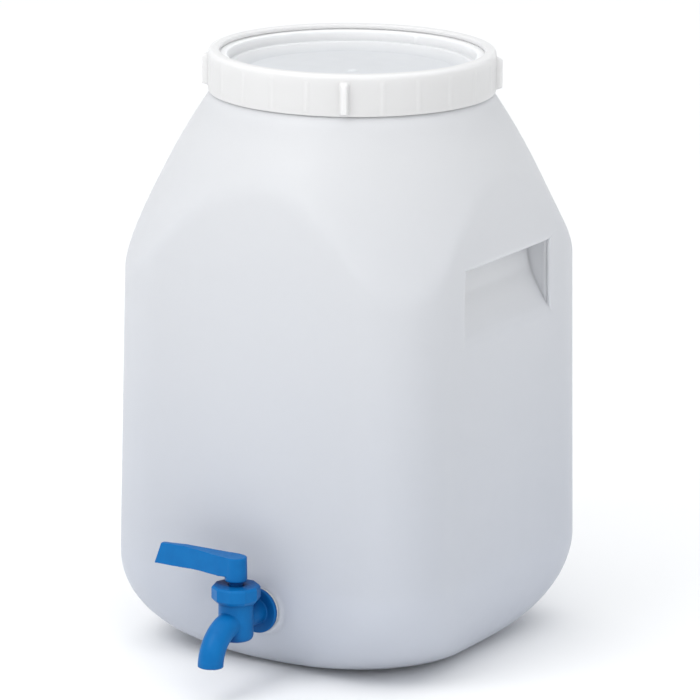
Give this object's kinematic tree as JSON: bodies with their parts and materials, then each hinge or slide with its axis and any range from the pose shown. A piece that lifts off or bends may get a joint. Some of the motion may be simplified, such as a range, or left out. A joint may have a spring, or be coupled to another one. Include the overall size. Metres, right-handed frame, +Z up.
{
  "type": "detergent dispenser canister",
  "caption": "Upright square canister for liquid detergent with a wide screw lid, moulded side handholds and a lever tap at the foot of the front face.",
  "frame": {"origin": "centre of the base, on the surface that the canister stands on", "axes": "+Z up towards the lid, -Y out of the face that carries the tap, +X and -X out of the faces with the handholds"},
  "size_m": [0.2562, 0.3267, 0.4152],
  "materials": {
    "natural_polyethylene": "natural blow-moulded polyethylene, milky and slightly translucent",
    "white_plastic": "white injection-moulded plastic, satin",
    "frosted_plastic": "thin translucent moulding, satin",
    "blue_plastic": "blue moulded plastic, semi-gloss",
    "white_seal": "soft white seal"
  },
  "bodies": {
    "canister": {"tank": "natural_polyethylene", "tap_body": "blue_plastic", "tap_outer_gasket": "white_seal", "tap_inner_gasket": "white_seal", "tap_lock_nut": "blue_plastic", "tap_bonnet_nut": "blue_plastic", "stem_washer": "blue_plastic"},
    "lid": {"inner_lid": "frosted_plastic", "lid_gasket": "white_seal"},
    "ring": {"screw_ring": "white_plastic"},
    "tap_valve": {"tap_plug": "blue_plastic", "plug_seal_upper": "white_seal", "plug_seal_lower": "white_seal", "tap_handle": "blue_plastic"}
  },
  "joints": [
    {"name": "ring_turn", "type": "hinge", "parent": "lid", "child": "ring", "pos_m": [0, 0, 0.4], "axis": [0, 0, 1], "range_deg": [0, 1080]},
    {"name": "lid_rise", "type": "slide", "parent": "canister", "child": "lid", "axis": [0, 0, 1], "range_m": [0, 0.024]},
    {"name": "tap_turn", "type": "hinge", "parent": "canister", "child": "tap_valve", "pos_m": [0.0075, -0.15869, 0.0497], "axis": [0, 0, 1], "range_deg": [0, 90]}
  ],
  "couplings": [
    {"joint": "lid_rise", "follows": "ring_turn", "m_per_rad": 0.0012732}
  ]
}
